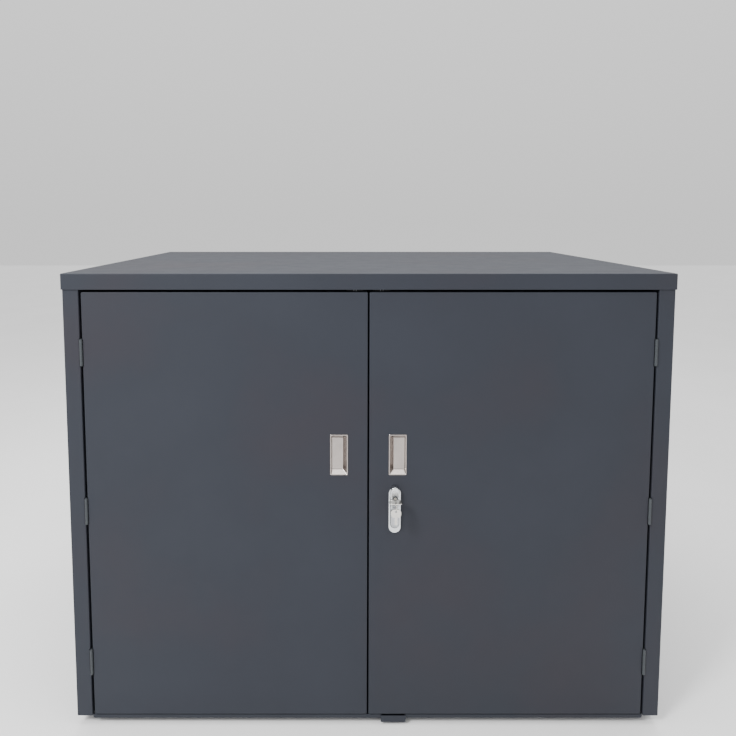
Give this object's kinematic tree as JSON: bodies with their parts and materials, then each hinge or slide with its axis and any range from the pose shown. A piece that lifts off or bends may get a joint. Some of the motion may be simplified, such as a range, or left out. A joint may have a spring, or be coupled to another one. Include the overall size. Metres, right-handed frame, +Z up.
{
  "type": "battery cabinet",
  "caption": "Floor-standing steel battery cabinet with a cap lid, two inset hinged doors, flush pulls, a folding-lever lock with rods and keys, a shelf and louvred back.",
  "frame": {"origin": "on the floor, at the centre of the four floor anchor holes, which is the middle of the cabinet in plan", "axes": "+X to the right seen from the front, the doors face -Y, +Z up"},
  "size_m": [1.45, 0.9678, 1.1308],
  "materials": {
    "powder_coat": "semi-matt fine-texture powder coat, anthracite",
    "hinge_paint": "powder-coated steel",
    "stainless": "polished stainless pressing",
    "satin_chrome": "satin chrome on zinc die casting",
    "nickel": "nickel plate",
    "zinc": "bright zinc plate",
    "black_plastic": "moulded nylon",
    "brass": "plain brass"
  },
  "bodies": {
    "cabinet": {"side_left": "powder_coat", "side_right": "powder_coat", "base_runner_left": "powder_coat", "base_runner_right": "powder_coat", "floor_pan": "powder_coat", "sill": "powder_coat", "roof_lid": "powder_coat", "header_rail": "powder_coat", "back_panel": "powder_coat", "keeper": "powder_coat", "battery_shelf": "powder_coat", "shelf_rails": "powder_coat", "catch_left": "black_plastic", "catch_left_poles": "zinc", "catch_right": "black_plastic", "catch_right_poles": "zinc", "cable_gland_left": "black_plastic", "cable_gland_right": "black_plastic", "earth_stud": "brass", "hinge_pins_left": "zinc", "hinge_pins_right": "zinc", "hinge_screws_post_left": "zinc", "hinge_screws_post_right": "zinc", "hinge_left_lower_post_leaf": "hinge_paint", "hinge_left_middle_post_leaf": "hinge_paint", "hinge_left_upper_post_leaf": "hinge_paint", "hinge_right_lower_post_leaf": "hinge_paint", "hinge_right_middle_post_leaf": "hinge_paint", "hinge_right_upper_post_leaf": "hinge_paint"},
    "left_door": {"door_left": "powder_coat", "door_left_stiffener": "powder_coat", "strike_left": "zinc", "pull_left": "stainless", "hinge_screws_door_left": "zinc", "hinge_left_lower_door_leaf": "hinge_paint", "hinge_left_middle_door_leaf": "hinge_paint", "hinge_left_upper_door_leaf": "hinge_paint"},
    "right_door": {"door_right": "powder_coat", "door_right_stiffener": "powder_coat", "strike_right": "zinc", "pull_right": "stainless", "hinge_screws_door_right": "zinc", "hinge_right_lower_door_leaf": "hinge_paint", "hinge_right_middle_door_leaf": "hinge_paint", "hinge_right_upper_door_leaf": "hinge_paint", "lock_base": "satin_chrome", "lock_nut": "zinc", "rod_guides": "black_plastic"},
    "handle": {"handle_hub": "satin_chrome", "lever_pin": "zinc", "spindle": "zinc", "cam": "zinc"},
    "lever": {"lever": "satin_chrome"},
    "upper_rod": {"rod_upper": "zinc"},
    "lower_rod": {"rod_lower": "zinc"},
    "cylinder": {"lock_cylinder": "satin_chrome"},
    "key_set": {"key_plug": "nickel", "key": "nickel"},
    "ring_set": {"key_ring": "nickel", "spare_key": "nickel"}
  },
  "joints": [
    {"name": "left_door_hinge", "type": "hinge", "parent": "cabinet", "child": "left_door", "pos_m": [-0.68165, -0.4485, 0.5525], "axis": [0, 0, -1], "range_deg": [0, 175]},
    {"name": "right_door_hinge", "type": "hinge", "parent": "cabinet", "child": "right_door", "pos_m": [0.68165, -0.4485, 0.5525], "axis": [0, 0, 1], "range_deg": [0, 175]},
    {"name": "handle_turn", "type": "hinge", "parent": "right_door", "child": "handle", "pos_m": [0.0639, -0.4475, 0.5724], "axis": [0, -1, 0], "range_deg": [0, 90]},
    {"name": "upper_rod_slide", "type": "slide", "parent": "right_door", "child": "upper_rod", "axis": [0, 0, 1], "range_m": [0, 0.018]},
    {"name": "lower_rod_slide", "type": "slide", "parent": "right_door", "child": "lower_rod", "axis": [0, 0, -1], "range_m": [0, 0.018]},
    {"name": "lever_fold", "type": "hinge", "parent": "handle", "child": "lever", "pos_m": [0.0639, -0.4558, 0.5659], "axis": [-1, 0, 0], "range_deg": [0, 25], "stiffness_Nm_per_rad": 0.04, "springref_deg": -5.73},
    {"name": "cylinder_push", "type": "slide", "parent": "right_door", "child": "cylinder", "axis": [0, 1, 0], "range_m": [0, 0.003], "stiffness_N_per_m": 400, "springref_m": -0.002},
    {"name": "key_turn", "type": "hinge", "parent": "cylinder", "child": "key_set", "pos_m": [0.0639, -0.4475, 0.591], "axis": [0, 1, 0], "range_deg": [0, 90]},
    {"name": "ring_swing", "type": "hinge", "parent": "key_set", "child": "ring_set", "pos_m": [0.0639, -0.48925, 0.584], "axis": [1, 0, 0], "range_deg": [-30, 30]}
  ],
  "couplings": [
    {"joint": "upper_rod_slide", "follows": "handle_turn", "m_per_rad": 0.01143},
    {"joint": "lower_rod_slide", "follows": "handle_turn", "m_per_rad": 0.01143}
  ]
}
